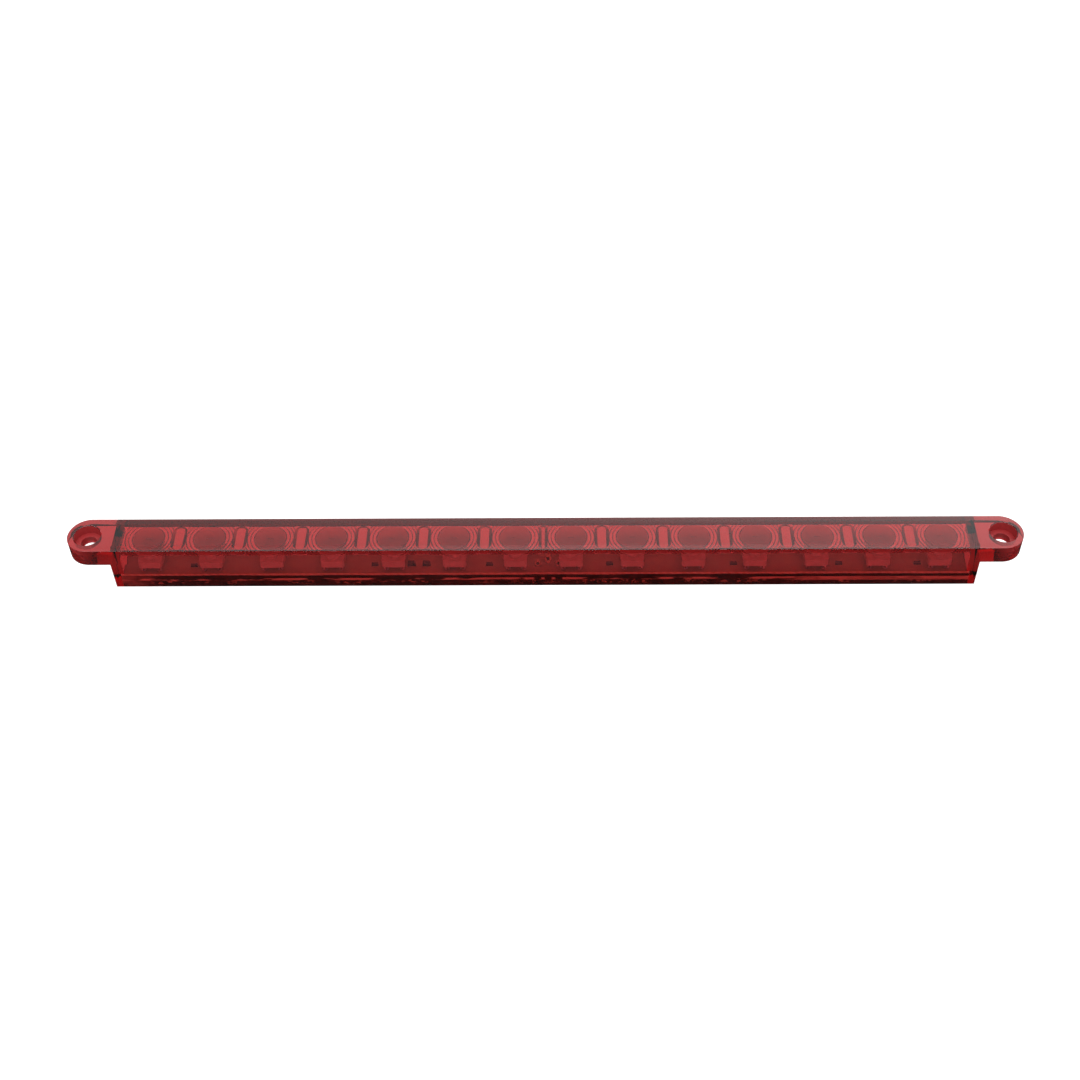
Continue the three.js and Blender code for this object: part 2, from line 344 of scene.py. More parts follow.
# One resin with four surfaces, in the order of the housing's material slots
redPlastic = {
    "clear": {"tints": ((1.0, 0.50, 0.51), (1.0, 0.46, 0.47)), "roughness": (0.01, 0.035), "clarity": 1.0},
    "frosted": {"tints": ((1.0, 0.50, 0.51), (1.0, 0.46, 0.47)), "roughness": (0.32, 0.42), "clarity": 1.0},
    "matt": {"tints": ((0.62, 0.045, 0.05), (0.56, 0.037, 0.042)), "roughness": (0.4, 0.5), "clarity": 0.55},
    "satin": {"tints": ((1.0, 0.50, 0.51), (1.0, 0.46, 0.47)), "roughness": (0.48, 0.56), "clarity": 0.6},
}
# What the four have in common
redDepth = {
    "colour": (0.91, 0.643, 0.653),
    "density": 1000.0,
    "ior": 1.585,
    "flowScale": 60,
    "flowStretch": (0.35, 1, 1),
    "smudgeScale": 220,
    "waveScale": 90,
    "waveStretch": (0.4, 1, 1),
    "waveBump": (0.06, 0.2 * mm),
}


def makeRedPlastic(kind):
    material, tree, shader = startMaterial(kind + "RedPolycarbonate")
    values = redPlastic[kind]
    flow = objectNoise(tree, redDepth["flowScale"], 2, redDepth["flowStretch"])
    smudge = objectNoise(tree, redDepth["smudgeScale"], 4)
    colourSurface(tree, shader, flow, values["tints"], smudge, values["roughness"])
    shader.inputs["Transmission Weight"].default_value = values["clarity"]
    shader.inputs["IOR"].default_value = redDepth["ior"]
    wave = objectNoise(tree, redDepth["waveScale"], 1, redDepth["waveStretch"])
    addBump(tree, shader, wave, *redDepth["waveBump"])
    depth = addNode(tree, "ShaderNodeVolumeAbsorption", Color=(*redDepth["colour"], 1), Density=redDepth["density"])
    tree.links.new(depth.outputs[0], tree.nodes["Material Output"].inputs["Volume"])
    return material


clearEpoxy = {
    "colours": ((0.88, 0.84, 0.80), (0.80, 0.75, 0.70)),  # clean and milky
    "clear": 0.22,
    "ior": 1.52,
    "roughness": (0.06, 0.16),
    "hazeScale": 900,
}


def makeClearEpoxy():
    material, tree, shader = startMaterial("clearLedEpoxy")
    haze = objectNoise(tree, clearEpoxy["hazeScale"], 3)
    colourSurface(tree, shader, haze, clearEpoxy["colours"], haze, clearEpoxy["roughness"])
    shader.inputs["Transmission Weight"].default_value = clearEpoxy["clear"]
    shader.inputs["IOR"].default_value = clearEpoxy["ior"]
    return material


# Opaque finishes of two colours mottled by fine noise; the bump is strength and depth
mottled = {
    "dullBrass": {
        "colours": ((0.40, 0.31, 0.19), (0.28, 0.22, 0.14)),
        "noise": (1400, 4),
        "roughness": (0.22, 0.42),
        "metallic": 1,
        "bump": (0.15, 0.03 * mm),
    },
    "dullFrameMetal": {
        "colours": ((0.34, 0.32, 0.30), (0.22, 0.21, 0.20)),
        "noise": (1400, 4),
        "roughness": (0.22, 0.42),
        "metallic": 1,
        "bump": (0.15, 0.03 * mm),
    },
    "solder": {
        "colours": ((0.78, 0.78, 0.76), (0.60, 0.60, 0.58)),
        "noise": (2200, 3),
        "roughness": (0.18, 0.4),
        "metallic": 1,
    },
    "blackChipGlaze": {
        "colours": ((0.018, 0.018, 0.02), (0.035, 0.033, 0.033)),
        "noise": (3000, 3),
        "roughness": (0.3, 0.5),
        "metallic": 0,
    },
    "blackRubber": {
        "colours": ((0.012, 0.012, 0.013), (0.03, 0.029, 0.028)),
        "noise": (1600, 4),
        "roughness": (0.5, 0.7),
        "metallic": 0,
        "bump": (0.25, 0.05 * mm),
    },
}


def makeMottled(name):
    values = mottled[name]
    material, tree, shader = startMaterial(name)
    mottle = objectNoise(tree, *values["noise"])
    colourSurface(tree, shader, mottle, values["colours"], mottle, values["roughness"])
    shader.inputs["Metallic"].default_value = values["metallic"]
    if "bump" in values:
        addBump(tree, shader, mottle, *values["bump"])
    return material


boardFinish = {
    "mask": ((0.34, 0.33, 0.23), (0.38, 0.39, 0.26)),
    "edge": ((0.85, 0.74, 0.50), (0.72, 0.60, 0.38)),
    "roughness": (0.35, 0.55),
    "blotchScale": 300,
    "weaveScale": 260,
    "weaveDistortion": 1.5,
    "weaveBump": (0.1, 0.05 * mm),
}


# Solder mask on the faces and bare woven glass on the edges
def makeLaminate():
    material, tree, shader = startMaterial("glassFibreLaminate")
    place = addNode(tree, "ShaderNodeTexCoord")
    facing = addNode(tree, "ShaderNodeSeparateXYZ")
    tree.links.new(addNode(tree, "ShaderNodeNewGeometry").outputs["Normal"], facing.inputs[0])
    weave = addNode(tree, "ShaderNodeTexWave", {"wave_type": "BANDS", "bands_direction": "DIAGONAL"},
                    Scale=boardFinish["weaveScale"], Distortion=boardFinish["weaveDistortion"])
    tree.links.new(place.outputs["Object"], weave.inputs["Vector"])
    blotch = objectNoise(tree, boardFinish["blotchScale"], 3)
    face = blendColours(tree, spread(tree, blotch, 0, 1), *boardFinish["mask"])
    edge = blendColours(tree, weave.outputs["Fac"], *boardFinish["edge"])
    level = calculate(tree, "ABSOLUTE", facing.outputs["Z"])
    tree.links.new(blendColours(tree, level, edge, face), shader.inputs["Base Color"])
    tree.links.new(spread(tree, blotch, *boardFinish["roughness"]), shader.inputs["Roughness"])
    addBump(tree, shader, weave.outputs["Fac"], *boardFinish["weaveBump"])
    return material


compoundFinish = {
    "open": ((0.006, 0.004, 0.004), (0.020, 0.009, 0.008)),
    "openRoughness": (0.08, 0.22),
    "openBump": (0.2, 0.3 * mm),
    "wet": ((0.040, 0.011, 0.008), (0.125, 0.035, 0.024)),
    "wetRoughness": (0.4, 0.6),
    "wetShine": 0.05,
    # Painted glint colour, used for the streaks, the broad band at the right and the left end
    "paintedGlint": (1.0, 0.55, 0.45),
    # Painted glint colour of the blotches lower on the wall
    "blotch": (0.52, 0.22, 0.15),
    "paintedGlintBand": (1.9 * mm, 2.1 * mm, 2.85 * mm, 3.0 * mm),
    "wideGlintBand": (1.2 * mm, 1.5 * mm, 2.95 * mm, 3.1 * mm),
    "glintBlotchBand": (0.2 * mm, 0.5 * mm, 1.9 * mm, 2.3 * mm),
    "spotCut": (0.52, 0.6),
    "patchCut": (0.42, 0.56),
    "paintedGlintCut": (0.47, 0.55),
    "rippleCut": (0.35, 0.6),
    "wideGlintFrom": (76 * mm, 84 * mm),
    "leftEndGlint": (-124 * mm, -134 * mm),
    "leadsX": 1.5 * mm,
    "leadsReach": (7.2 * mm, 8.4 * mm),
    "leadSpacing": 3.4 * mm,
    "fingerHalf": (0.95 * mm, 1.45 * mm),
    "fingersReach": (4.6 * mm, 4.9 * mm),
}


# One between the middle two levels, falling to zero at the outer ones
def bandMask(tree, value, levels):
    rising = spread(tree, value, 0, 1, *levels[:2])
    falling = spread(tree, value, 1, 0, *levels[2:])
    return multiply(tree, rising, falling)


# Black epoxy as it sets in the open
def makeCompound():
    material, tree, shader = startMaterial("pottingEpoxy")
    slow = objectNoise(tree, 120, 3, (0.4, 1, 1))
    colourSurface(tree, shader, slow, compoundFinish["open"], slow, compoundFinish["openRoughness"])
    addBump(tree, shader, objectNoise(tree, 260, 2), *compoundFinish["openBump"])
    return material


# The same epoxy stuck to the red wall; near its top it has pulled away, and the light glinting in that gap is
# painted on as long pale streaks
def makeWettedCompoundWithGlints():
    material, tree, shader = startMaterial("pottingEpoxyOnWallPaintedGlints")
    place = splitPlace(tree)
    x, z = place["X"], place["Z"]
    slow = objectNoise(tree, 420, 4, (0.5, 0.5, 1))
    colour = blendColours(tree, spread(tree, slow, 0, 1), *compoundFinish["wet"])
    # Pale red blotches lower on the wall are painted glints
    spots = spread(tree, objectNoise(tree, 620, 3, (1, 0.2, 1.4)), 0, 1, *compoundFinish["spotCut"])
    patches = spread(tree, objectNoise(tree, 60, 1, (1, 0.2, 0.2)), 0, 1, *compoundFinish["patchCut"])
    glintBlotches = multiply(tree, spots, patches, bandMask(tree, z, compoundFinish["glintBlotchBand"]))
    colour = blendColours(tree, glintBlotches, colour, compoundFinish["blotch"])

    # Painted glint streaks run all along, and close to the leads in every gap between the grommet's fingers
    glintLines = spread(tree, objectNoise(tree, 90, 6, (1, 0.2, 5)), 0, 1, *compoundFinish["paintedGlintCut"])
    fromLeads = calculate(tree, "ABSOLUTE", calculate(tree, "SUBTRACT", x, compoundFinish["leadsX"]))
    nearLeads = spread(tree, fromLeads, 1, 0, *compoundFinish["leadsReach"])
    fromFinger = calculate(tree, "PINGPONG", fromLeads, compoundFinish["leadSpacing"] / 2)
    besideFinger = spread(tree, fromFinger, 0, 1, *compoundFinish["fingerHalf"])
    pastFingers = spread(tree, fromLeads, 0, 1, *compoundFinish["fingersReach"])
    lit = multiply(
        tree,
        calculate(tree, "MAXIMUM", glintLines, nearLeads),
        calculate(tree, "MAXIMUM", besideFinger, pastFingers),
        bandMask(tree, z, compoundFinish["paintedGlintBand"]),
    )
    colour = blendColours(tree, lit, colour, compoundFinish["paintedGlint"])

    # A broad painted glint band at the right, and a little of it at the left end
    ripple = spread(tree, objectNoise(tree, 60, 3, (1, 0.2, 3)), 0.55, 1, *compoundFinish["rippleCut"])
    wide = spread(tree, x, 0, 1, *compoundFinish["wideGlintFrom"])
    wide = multiply(tree, wide, ripple, bandMask(tree, z, compoundFinish["wideGlintBand"]))
    colour = blendColours(tree, wide, colour, compoundFinish["paintedGlint"])
    leftEndGlint = multiply(tree, spread(tree, x, 0, 0.5, *compoundFinish["leftEndGlint"]), spread(tree, slow, 0.4, 1))
    colour = blendColours(tree, leftEndGlint, colour, compoundFinish["paintedGlint"])
    tree.links.new(colour, shader.inputs["Base Color"])
    tree.links.new(spread(tree, slow, *compoundFinish["wetRoughness"]), shader.inputs["Roughness"])
    shader.inputs["Specular IOR Level"].default_value = compoundFinish["wetShine"]
    return material


floorFinish = {
    "base": 0.25,
    "roughness": (0.7, 0.9),
    "glow": 0.55,
    "cameraGlow": 0.5,
    "mirrored": 0.08,
    "shade": (9.5 * mm, 14 * mm),
}


# Pure white to the camera; dim where it is mirrored, and darkest close to the light's foot
def makeFloor():
    material, tree, shader = startMaterial("paleFloor")
    away = calculate(tree, "ABSOLUTE", splitPlace(tree)["Y"])
    shade = spread(tree, away, 0, floorFinish["mirrored"], *floorFinish["shade"])
    rays = addNode(tree, "ShaderNodeLightPath")
    notRefracted = spread(tree, rays.outputs["Is Transmission Ray"], 1, 0, 0, 1)
    reflected = multiply(tree, rays.outputs["Is Glossy Ray"], notRefracted)
    direct = spread(tree, reflected, 1, 0, 0, 1)
    grain = objectNoise(tree, 40, 3)
    level = spread(tree, grain, floorFinish["base"], floorFinish["base"] * 0.95, 0, 1)
    tree.links.new(multiply(tree, level, direct), shader.inputs["Base Color"])
    tree.links.new(spread(tree, grain, *floorFinish["roughness"]), shader.inputs["Roughness"])
    shader.inputs["Emission Color"].default_value = (1, 1, 1, 1)
    plain = spread(tree, rays.outputs["Is Camera Ray"], floorFinish["glow"],
                   floorFinish["glow"] + floorFinish["cameraGlow"], 0, 1)
    glow = calculate(tree, "ADD", multiply(tree, plain, direct), multiply(tree, shade, reflected))
    tree.links.new(glow, shader.inputs["Emission Strength"])
    return material


redPlastics = {kind: makeRedPlastic(kind) for kind in redPlastic}
epoxyClear = makeClearEpoxy()
metalBrass, metalDull, solderGrey, chipBlack, rubberBlack = (makeMottled(name) for name in mottled)
laminate = makeLaminate()
epoxyBlack = makeCompound()
epoxyWettedWithGlints = makeWettedCompoundWithGlints()
print("materials made")


cameraView = {
    "lens": 53.64,
    "sensor": 36.0,
    "distance": 512.7 * mm,
    "pitch": 46.81,
    "yaw": 1.401,
    "roll": -1.241,
    "sideShift": -0.98 * mm,
    "upShift": -2.02 * mm,
}


def placeCamera():
    pitch, yaw, roll = (math.radians(cameraView[key]) for key in ("pitch", "yaw", "roll"))
    back = Vector((math.sin(yaw) * math.cos(pitch), -math.cos(yaw) * math.cos(pitch), math.sin(pitch)))
    level = (-back).cross(Vector((0, 0, 1))).normalized()
    upright = level.cross(-back)
    right = math.cos(roll) * level + math.sin(roll) * upright
    up = math.cos(roll) * upright - math.sin(roll) * level
    aim = Vector((0, 0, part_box("lens_housing")[1].z))
    aim += right * cameraView["sideShift"] + up * cameraView["upShift"]
    data = bpy.data.cameras.new("mainCamera")
    data.sensor_width = cameraView["sensor"]
    data.lens = cameraView["lens"]
    data.clip_start = 0.01
    camera = bpy.data.objects.new("mainCamera", data)
    turn = Matrix((right, up, back)).transposed().to_4x4()
    camera.matrix_world = Matrix.Translation(aim + back * cameraView["distance"]) @ turn
    scene.collection.objects.link(camera)
    scene.camera = camera


placeCamera()
print("camera placed")


housing = {
    "earThickness": 6.35 * mm,
    "bodyEnd": 138.5 * mm,
    "wall": 2.1 * mm,
    "face": 2.8 * mm,
    "endSteps": 64,
    "edgeRound": 0.1 * mm,
    "cavityCorner": 0.7 * mm,
    "ceilingSteps": 4,
    "stopLength": 1.2 * mm,
    "stopGap": 0.1 * mm,
    "screwX": 146.05 * mm,
    "holeRadius": 2.6 * mm,
    "counterboreRadius": 4.35 * mm,
    "counterboreDepth": 3.4 * mm,
    "rimChamfer": 0.2 * mm,
    "holeSegments": 96,
}
optic = {
    "padDepth": 0.32 * mm,
    "domeDepth": 0.75 * mm,
    "domeSteps": 12,
    "grooves": (5.0 * mm, 6.15 * mm, 7.25 * mm, 8.2 * mm),
    "grooveWidth": 0.4 * mm,
    "grooveDepth": 0.2 * mm,
    "outerRadius": 9.2 * mm,
    "reachX": 7.5 * mm,
    "segments": 96,
    "markSize": (1.9 * mm, 0.6 * mm),
    "markDepth": 0.3 * mm,
}
rib = {
    "width": 2.8 * mm,
    "middleWidth": 1.0 * mm,
    "depth": 0.62 * mm,
    "slope": 0.9 * mm,
    "endSlope": 0.36 * mm,
    "endGap": 0.06 * mm,
    "endRound": 0.45,
}

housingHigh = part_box("lens_housing")[1]
halfLength = housingHigh.x
halfWidth = housingHigh.y
topZ = housingHigh.z
earZ = topZ - housing["earThickness"]
ceilingZ = topZ - housing["face"]
cavityHalfX = housing["bodyEnd"] - housing["wall"]
cavityHalfY = halfWidth - housing["wall"]


# Face plate with round ends over a straight body, edges softened
def outerShape():
    shape = bmesh.new()
    arcX = halfLength - halfWidth
    steps = housing["endSteps"]
    bodyX = housing["bodyEnd"]

    def arcPoints(side, height):
        angles = [(i / steps - 0.5) * math.pi for i in range(steps + 1)]
        return [
            shape.verts.new((side * (arcX + halfWidth * math.cos(a)), side * halfWidth * math.sin(a), height))
            for a in angles
        ]

    topRight, topLeft = arcPoints(1, topZ), arcPoints(-1, topZ)
    lowRight, lowLeft = arcPoints(1, earZ), arcPoints(-1, earZ)
    corners = {}
    for sideX in (1, -1):
        for sideY in (1, -1):
            for height in (0, earZ):
                point = (sideX * bodyX, sideY * halfWidth, height)
                corners[sideX, sideY, height] = shape.verts.new(point)
    shape.faces.new(topRight + topLeft)
    for top, low in ((topRight, lowRight), (topLeft, lowLeft)):
        for i in range(steps):
            shape.faces.new((low[i], low[i + 1], top[i + 1], top[i]))
    for side, low in ((1, lowRight), (-1, lowLeft)):
        inner = [corners[side, -side, earZ], corners[side, side, earZ]]
        shape.faces.new(inner + list(reversed(low)))
        end = [(side, -side, 0), (side, side, 0), (side, side, earZ), (side, -side, earZ)]
        shape.faces.new([corners[key] for key in end])
    front = [(-1, -1, earZ), (-1, -1, 0), (1, -1, 0), (1, -1, earZ)]
    shape.faces.new([lowLeft[-1]] + [corners[key] for key in front] + [lowRight[0], topRight[0], topLeft[-1]])
    rear = [(1, 1, earZ), (1, 1, 0), (-1, 1, 0), (-1, 1, earZ)]
    shape.faces.new([lowRight[-1]] + [corners[key] for key in rear] + [lowLeft[0], topLeft[0], topRight[-1]])
    shape.faces.new([corners[key] for key in ((-1, 1, 0), (1, 1, 0), (1, -1, 0), (-1, -1, 0))])
    bmesh.ops.recalc_face_normals(shape, faces=shape.faces)
    roundEdges(shape, housing["edgeRound"])
    return shape


def cavityShape():
    corner, soft, steps = housing["cavityCorner"], housing["edgeRound"], housing["ceilingSteps"]
    levels = [(-bite, 0), (ceilingZ - soft, 0)]
    for i in range(1, steps + 1):
        angle = i / steps * math.pi / 2
        levels.append((ceilingZ - soft * (1 - math.sin(angle)), soft * (1 - math.cos(angle))))
    outlines = [roundedOutline(cavityHalfX - inset, cavityHalfY - inset, corner, z) for z, inset in levels]
    return loftShape(outlines)


# Convex middle and ring grooves in a thin pad under the ceiling
def opticShape():
    padZ = ceilingZ - optic["padDepth"]
    first = optic["grooves"][0]
    profile = []
    for i in range(optic["domeSteps"] + 1):
        share = i / optic["domeSteps"]
        profile.append((first * share, padZ - optic["domeDepth"] * (1 - share ** 2)))
    for radius in optic["grooves"]:
        if radius > first:
            profile.append((radius, padZ))
        profile.append((radius + optic["grooveWidth"] / 2, padZ + optic["grooveDepth"]))
        profile.append((radius + optic["grooveWidth"], padZ))
    profile += [(optic["outerRadius"], padZ), (optic["outerRadius"], ceilingZ + bite), (0, ceilingZ + bite)]
    return turnedShape(profile, optic["segments"])


# Clipped to its cell, with the little bar the mould leaves at its middle
def clippedOptic():
    whole = linkPiece("optic", meshFromBmesh("optic", opticShape()))
    lowest = ceilingZ - optic["padDepth"] - optic["domeDepth"]
    halfX, halfY = (size / 2 for size in optic["markSize"])
    mark = blockShape((-halfX, -halfY, lowest - optic["markDepth"]), (halfX, halfY, lowest + bite))
    combine(whole, linkPiece("mark", meshFromBmesh("mark", mark)), "UNION")
    edgeX, edgeY = optic["reachX"], cavityHalfY + bite
    strip = blockShape((-edgeX, -edgeY, 0), (edgeX, edgeY, topZ))
    combine(whole, linkPiece("strip", meshFromBmesh("strip", strip)), "INTERSECT")
    shape = bmesh.new()
    shape.from_mesh(whole.data)
    dropPiece(whole)
    return shape


# Bar across the ceiling with sloping flanks and rounded ends
def ribShape(width):
    reach = cavityHalfY - rib["endGap"]
    wide, narrow = width / 2 + rib["slope"], width / 2
    levels = (
        (narrow, reach - rib["endSlope"], ceilingZ - rib["depth"]),
        (wide, reach, ceilingZ),
        (wide, reach, ceilingZ + bite),
    )
    return loftShape([roundedOutline(halfX, halfY, 2 * rib["endRound"] * halfX, z) for halfX, halfY, z in levels])


# Block at each end of the cavity that keeps the board down
def stopShape(side):
    edgeY = cavityHalfY + bite
    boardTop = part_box("circuit_board")[1].z
    inner = side * (cavityHalfX - housing["stopLength"])
    outer = side * (cavityHalfX + bite)
    low = (min(inner, outer), -edgeY, boardTop + housing["stopGap"])
    return blockShape(low, (max(inner, outer), edgeY, ceilingZ + bite))


def screwHoleShape(side):
    bore, hole = housing["counterboreRadius"], housing["holeRadius"]
    floorZ = topZ - housing["counterboreDepth"]
    chamfer = housing["rimChamfer"]
    profile = [
        (0, earZ - bite),
        (hole + chamfer + bite, earZ - bite),
        (hole + chamfer, earZ),
        (hole, earZ + chamfer),
        (hole, floorZ),
        (bore, floorZ),
        (bore, topZ - chamfer),
        (bore + chamfer, topZ),
        (bore + chamfer + bite, topZ + bite),
        (0, topZ + bite),
    ]
    return moveShape(turnedShape(profile, housing["holeSegments"]), Vector((side * housing["screwX"], 0, 0)))


# Matt screw bores, satin middles of the optics, frosted rib flanks and grooves, the rest clear
def surfaceKind(mesh, polygon):
    centre = polygon.center
    corners = [mesh.vertices[i].co for i in polygon.vertices]
    fromScrew = max(math.hypot(abs(corner.x) - housing["screwX"], corner.y) for corner in corners)
    if fromScrew < housing["counterboreRadius"] + tolerance:
        return "matt"
    lowest = ceilingZ - optic["padDepth"] - optic["domeDepth"] - optic["markDepth"]
    underFace = lowest - tolerance < centre.z < ceilingZ and abs(centre.y) < cavityHalfY - 5 * tolerance
    if not underFace or abs(centre.x) > cavityHalfX - housing["stopLength"]:
        return "clear"
    fromLed = abs(abs(centre.x) - ledRow["middleOffset"]) % ledRow["pitch"]
    fromLed = min(fromLed, ledRow["pitch"] - fromLed)
    if math.hypot(fromLed, centre.y) < optic["grooves"][0]:
        return "satin"
    return "frosted" if abs(polygon.normal.z) < 0.95 else "clear"


def buildHousing():
    piece = linkPiece("housing_moulding", meshFromBmesh("housing_moulding", outerShape()))

    def apply(shape, operation):
        combine(piece, linkPiece("tool", meshFromBmesh("tool", shape)), operation)

    apply(cavityShape(), "DIFFERENCE")
    combine(piece, repeatInRow("optics", clippedOptic(), redPlastics["clear"]), "UNION")
    ribRow = {
        "perSide": ledRow["perSide"] - 1,
        "middleOffset": ledRow["middleOffset"] + ledRow["pitch"] / 2,
        "pitch": ledRow["pitch"],
    }
    combine(piece, repeatInRow("ribs", ribShape(rib["width"]), redPlastics["clear"], ribRow), "UNION")
    apply(ribShape(rib["middleWidth"]), "UNION")
    for side in (-1, 1):
        apply(stopShape(side), "UNION")
        apply(screwHoleShape(side), "DIFFERENCE")
    smoothByAngle(piece.data, 28)
    setMaterials(piece, *redPlastics.values())
    kinds = list(redPlastics)
    for polygon in piece.data.polygons:
        polygon.material_index = kinds.index(surfaceKind(piece.data, polygon))
    placePiece(piece, "lens_housing", "lens_housing")
    print("housing built:", len(piece.data.polygons), "faces")


buildHousing()


led = {
    "cornerRadius": 0.9 * mm,
    "cornerSteps": 6,
    "keyChamfer": 1.6 * mm,
    "edgeRound": 0.18 * mm,
    "domeRadius": 2.6 * mm,
    "domeHeight": 1.8 * mm,
    "domeSteps": 12,
    "domeSegments": 48,
}
ledLow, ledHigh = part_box(ledNames[0])
ledHalf = (ledHigh.x - ledLow.x) / 2
ledTop = ledHigh.z - led["domeHeight"]


# Square body with one keyed corner and its dome, both moulded in one
def ledShape():
    corner, steps, chamfer = led["cornerRadius"], led["cornerSteps"], led["keyChamfer"]
    outline = []
    for quarter, (sideX, sideY) in enumerate(((1, 1), (-1, 1), (-1, -1), (1, -1))):
        if (sideX, sideY) == (-1, 1):
            outline += [(chamfer - ledHalf, ledHalf), (-ledHalf, ledHalf - chamfer)]
            continue
        for i in range(steps + 1):
            angle = (quarter + i / steps) * math.pi / 2
            outline.append((
                sideX * (ledHalf - corner) + corner * math.cos(angle),
                sideY * (ledHalf - corner) + corner * math.sin(angle),
            ))
    body = loftShape([[Vector((x, y, z)) for x, y in outline] for z in (ledLow.z, ledTop)])
    roundEdges(body, led["edgeRound"], segments=2, degrees=50)
    base = linkPiece("ledBody", meshFromBmesh("ledBody", body))
    profile = [(0, ledTop - bite), (led["domeRadius"], ledTop - bite)]
    for i in range(led["domeSteps"] + 1):
        angle = i / led["domeSteps"] * math.pi / 2
        profile.append((
            led["domeRadius"] * math.cos(angle) if i < led["domeSteps"] else 0,
            ledTop + led["domeHeight"] * math.sin(angle),
        ))
    dome = turnedShape(profile, led["domeSegments"])
    combine(base, linkPiece("dome", meshFromBmesh("dome", dome)), "UNION")
    shape = bmesh.new()
    shape.from_mesh(base.data)
    dropPiece(base)
    return shape


leadFrame = {
    "legSpacing": 5.08 * mm,
    "thickness": 0.4 * mm,
    "legWidth": 0.5 * mm,
    "shoulderWidth": 1.1 * mm,
    "shoulderGaps": (0.05 * mm, 0.35 * mm),  # over the board and under the body
    "plateZ": 0.55 * mm,
    "plateReach": 1.1 * mm,
    "plateFrom": {-1: 0.9 * mm, 1: 0.35 * mm},
    "edgeRound": 0.06 * mm,
    "cupRadius": 0.95 * mm,
    "cupDepth": 0.45 * mm,
    "cupSink": 0.05 * mm,
    "cupFloor": 0.08 * mm,
    "cupSegments": 32,
    "chipSize": 0.35 * mm,
    "chipLift": 0.09 * mm,
    "chipHeight": 0.2 * mm,
    "chipRound": 0.02 * mm,
}


# Legs with shoulders, and the plate that joins each pair inside the body
def framesShape():
    half = leadFrame["legSpacing"] / 2
    thin = leadFrame["thickness"] / 2
    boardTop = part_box("circuit_board")[1].z
    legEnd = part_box(anodeNames[0])[0].z
    overBoard, underBody = leadFrame["shoulderGaps"]
    plateLow = ledLow.z + leadFrame["plateZ"]
    plateHigh = plateLow + leadFrame["thickness"]
    shapes = []
    for sideX in (-1, 1):
        for sideY in (-1, 1):
            y = sideY * half
            for width, low, high in (
                (leadFrame["legWidth"], legEnd, plateHigh),
                (leadFrame["shoulderWidth"], boardTop + overBoard, ledLow.z - underBody),
            ):
                shapes.append(blockShape(
                    (sideX * half - thin, y - width / 2, low), (sideX * half + thin, y + width / 2, high),
                ))
        ends = sorted((sideX * leadFrame["plateFrom"][sideX], sideX * (half + thin)))
        reach = leadFrame["plateReach"]
        shapes.append(blockShape((ends[0], -reach, plateLow), (ends[1], reach, plateHigh)))
        bar = half + leadFrame["legWidth"] / 2
        shapes.append(blockShape((sideX * half - thin, -bar, plateLow), (sideX * half + thin, bar, plateHigh)))
    for shape in shapes:
        roundEdges(shape, leadFrame["edgeRound"], segments=2)
    cup = leadFrame["cupRadius"]
    foot = plateHigh - leadFrame["cupSink"]
    rim = plateHigh + leadFrame["cupDepth"]
    inside = plateHigh + leadFrame["cupFloor"]
    profile = [(0, foot), (0.7 * cup, foot), (cup, rim), (0.88 * cup, rim), (0.5 * cup, inside), (0, inside)]
    shapes.append(turnedShape(profile, leadFrame["cupSegments"]))
    return joinShapes(shapes)


def chipsShape():
    size = leadFrame["chipSize"] / 2
    low = ledLow.z + leadFrame["plateZ"] + leadFrame["thickness"] + leadFrame["chipLift"]
    shape = blockShape((-size, -size, low), (size, size, low + leadFrame["chipHeight"]))
    roundEdges(shape, leadFrame["chipRound"], segments=1)
    return shape


def buildLeds():
    bodies = repeatInRow("led_bodies", ledShape(), epoxyClear)
    smoothByAngle(bodies.data, 40)
    placePiece(bodies, "led_body", *ledNames)
    frames = repeatInRow("led_lead_frames", framesShape(), metalDull)
    smoothByAngle(frames.data, 40)
    placePiece(frames, "led_frames", *anodeNames, *cathodeNames)
    chips = repeatInRow("led_chips", chipsShape(), solderGrey)
    placePiece(chips, "led_frames")
    print("LEDs built")


buildLeds()


joint = {
    "padRadius": 0.85 * mm,
    "padThickness": 0.05 * mm,
    "coneRadius": 0.782 * mm,
    "coneAbove": 0.175 * mm,
    "coneBelow": 0.3 * mm,
    "coneCurve": 1.7,
    "coneSteps": 4,
    "legRadius": 0.3 * mm,
    "segments": 20,
}


# Round pad with a cone of solder on it, at each leg, on both sides of the board
def jointsShape():
    boardLow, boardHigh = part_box("circuit_board")
    half = leadFrame["legSpacing"] / 2
    shapes = []
    for sideX in (-1, 1):
        for sideY in (-1, 1):
            for level, tall in ((boardHigh.z, joint["coneAbove"]), (boardLow.z, joint["coneBelow"])):
                profile = [(0, 0), (joint["padRadius"], 0), (joint["padRadius"], joint["padThickness"])]
                for i in range(joint["coneSteps"] + 1):
                    share = i / joint["coneSteps"]
                    cone = joint["coneRadius"] * (1 - share) ** joint["coneCurve"]
                    profile.append((cone + joint["legRadius"] * share, joint["padThickness"] + tall * share))
                profile.append((0, profile[-1][1]))
                shape = turnedShape(profile, joint["segments"])
                if level == boardLow.z:
                    bmesh.ops.rotate(shape, verts=shape.verts, matrix=Matrix.Rotation(math.pi, 3, "X"))
                shapes.append(moveShape(shape, Vector((sideX * half, sideY * half, level))))
    return joinShapes(shapes)


def buildJoints():
    joints = repeatInRow("solder_joints", jointsShape(), solderGrey)
    smoothByAngle(joints.data, 40)
    placePiece(joints, "led_frames")
    print("solder joints built")


buildJoints()

setMaterials(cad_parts["circuit_board"], laminate)
print("board finished")


chipPart = {
    "cap": 0.3 * mm,
    "capRise": 0.04 * mm,
    "diodeCap": 0.6,  # height of a diode's ends, as a share of its body
    "edgeRound": 0.05 * mm,
    "fillet": 0.15 * mm,
    "filletRise": 0.7,
}


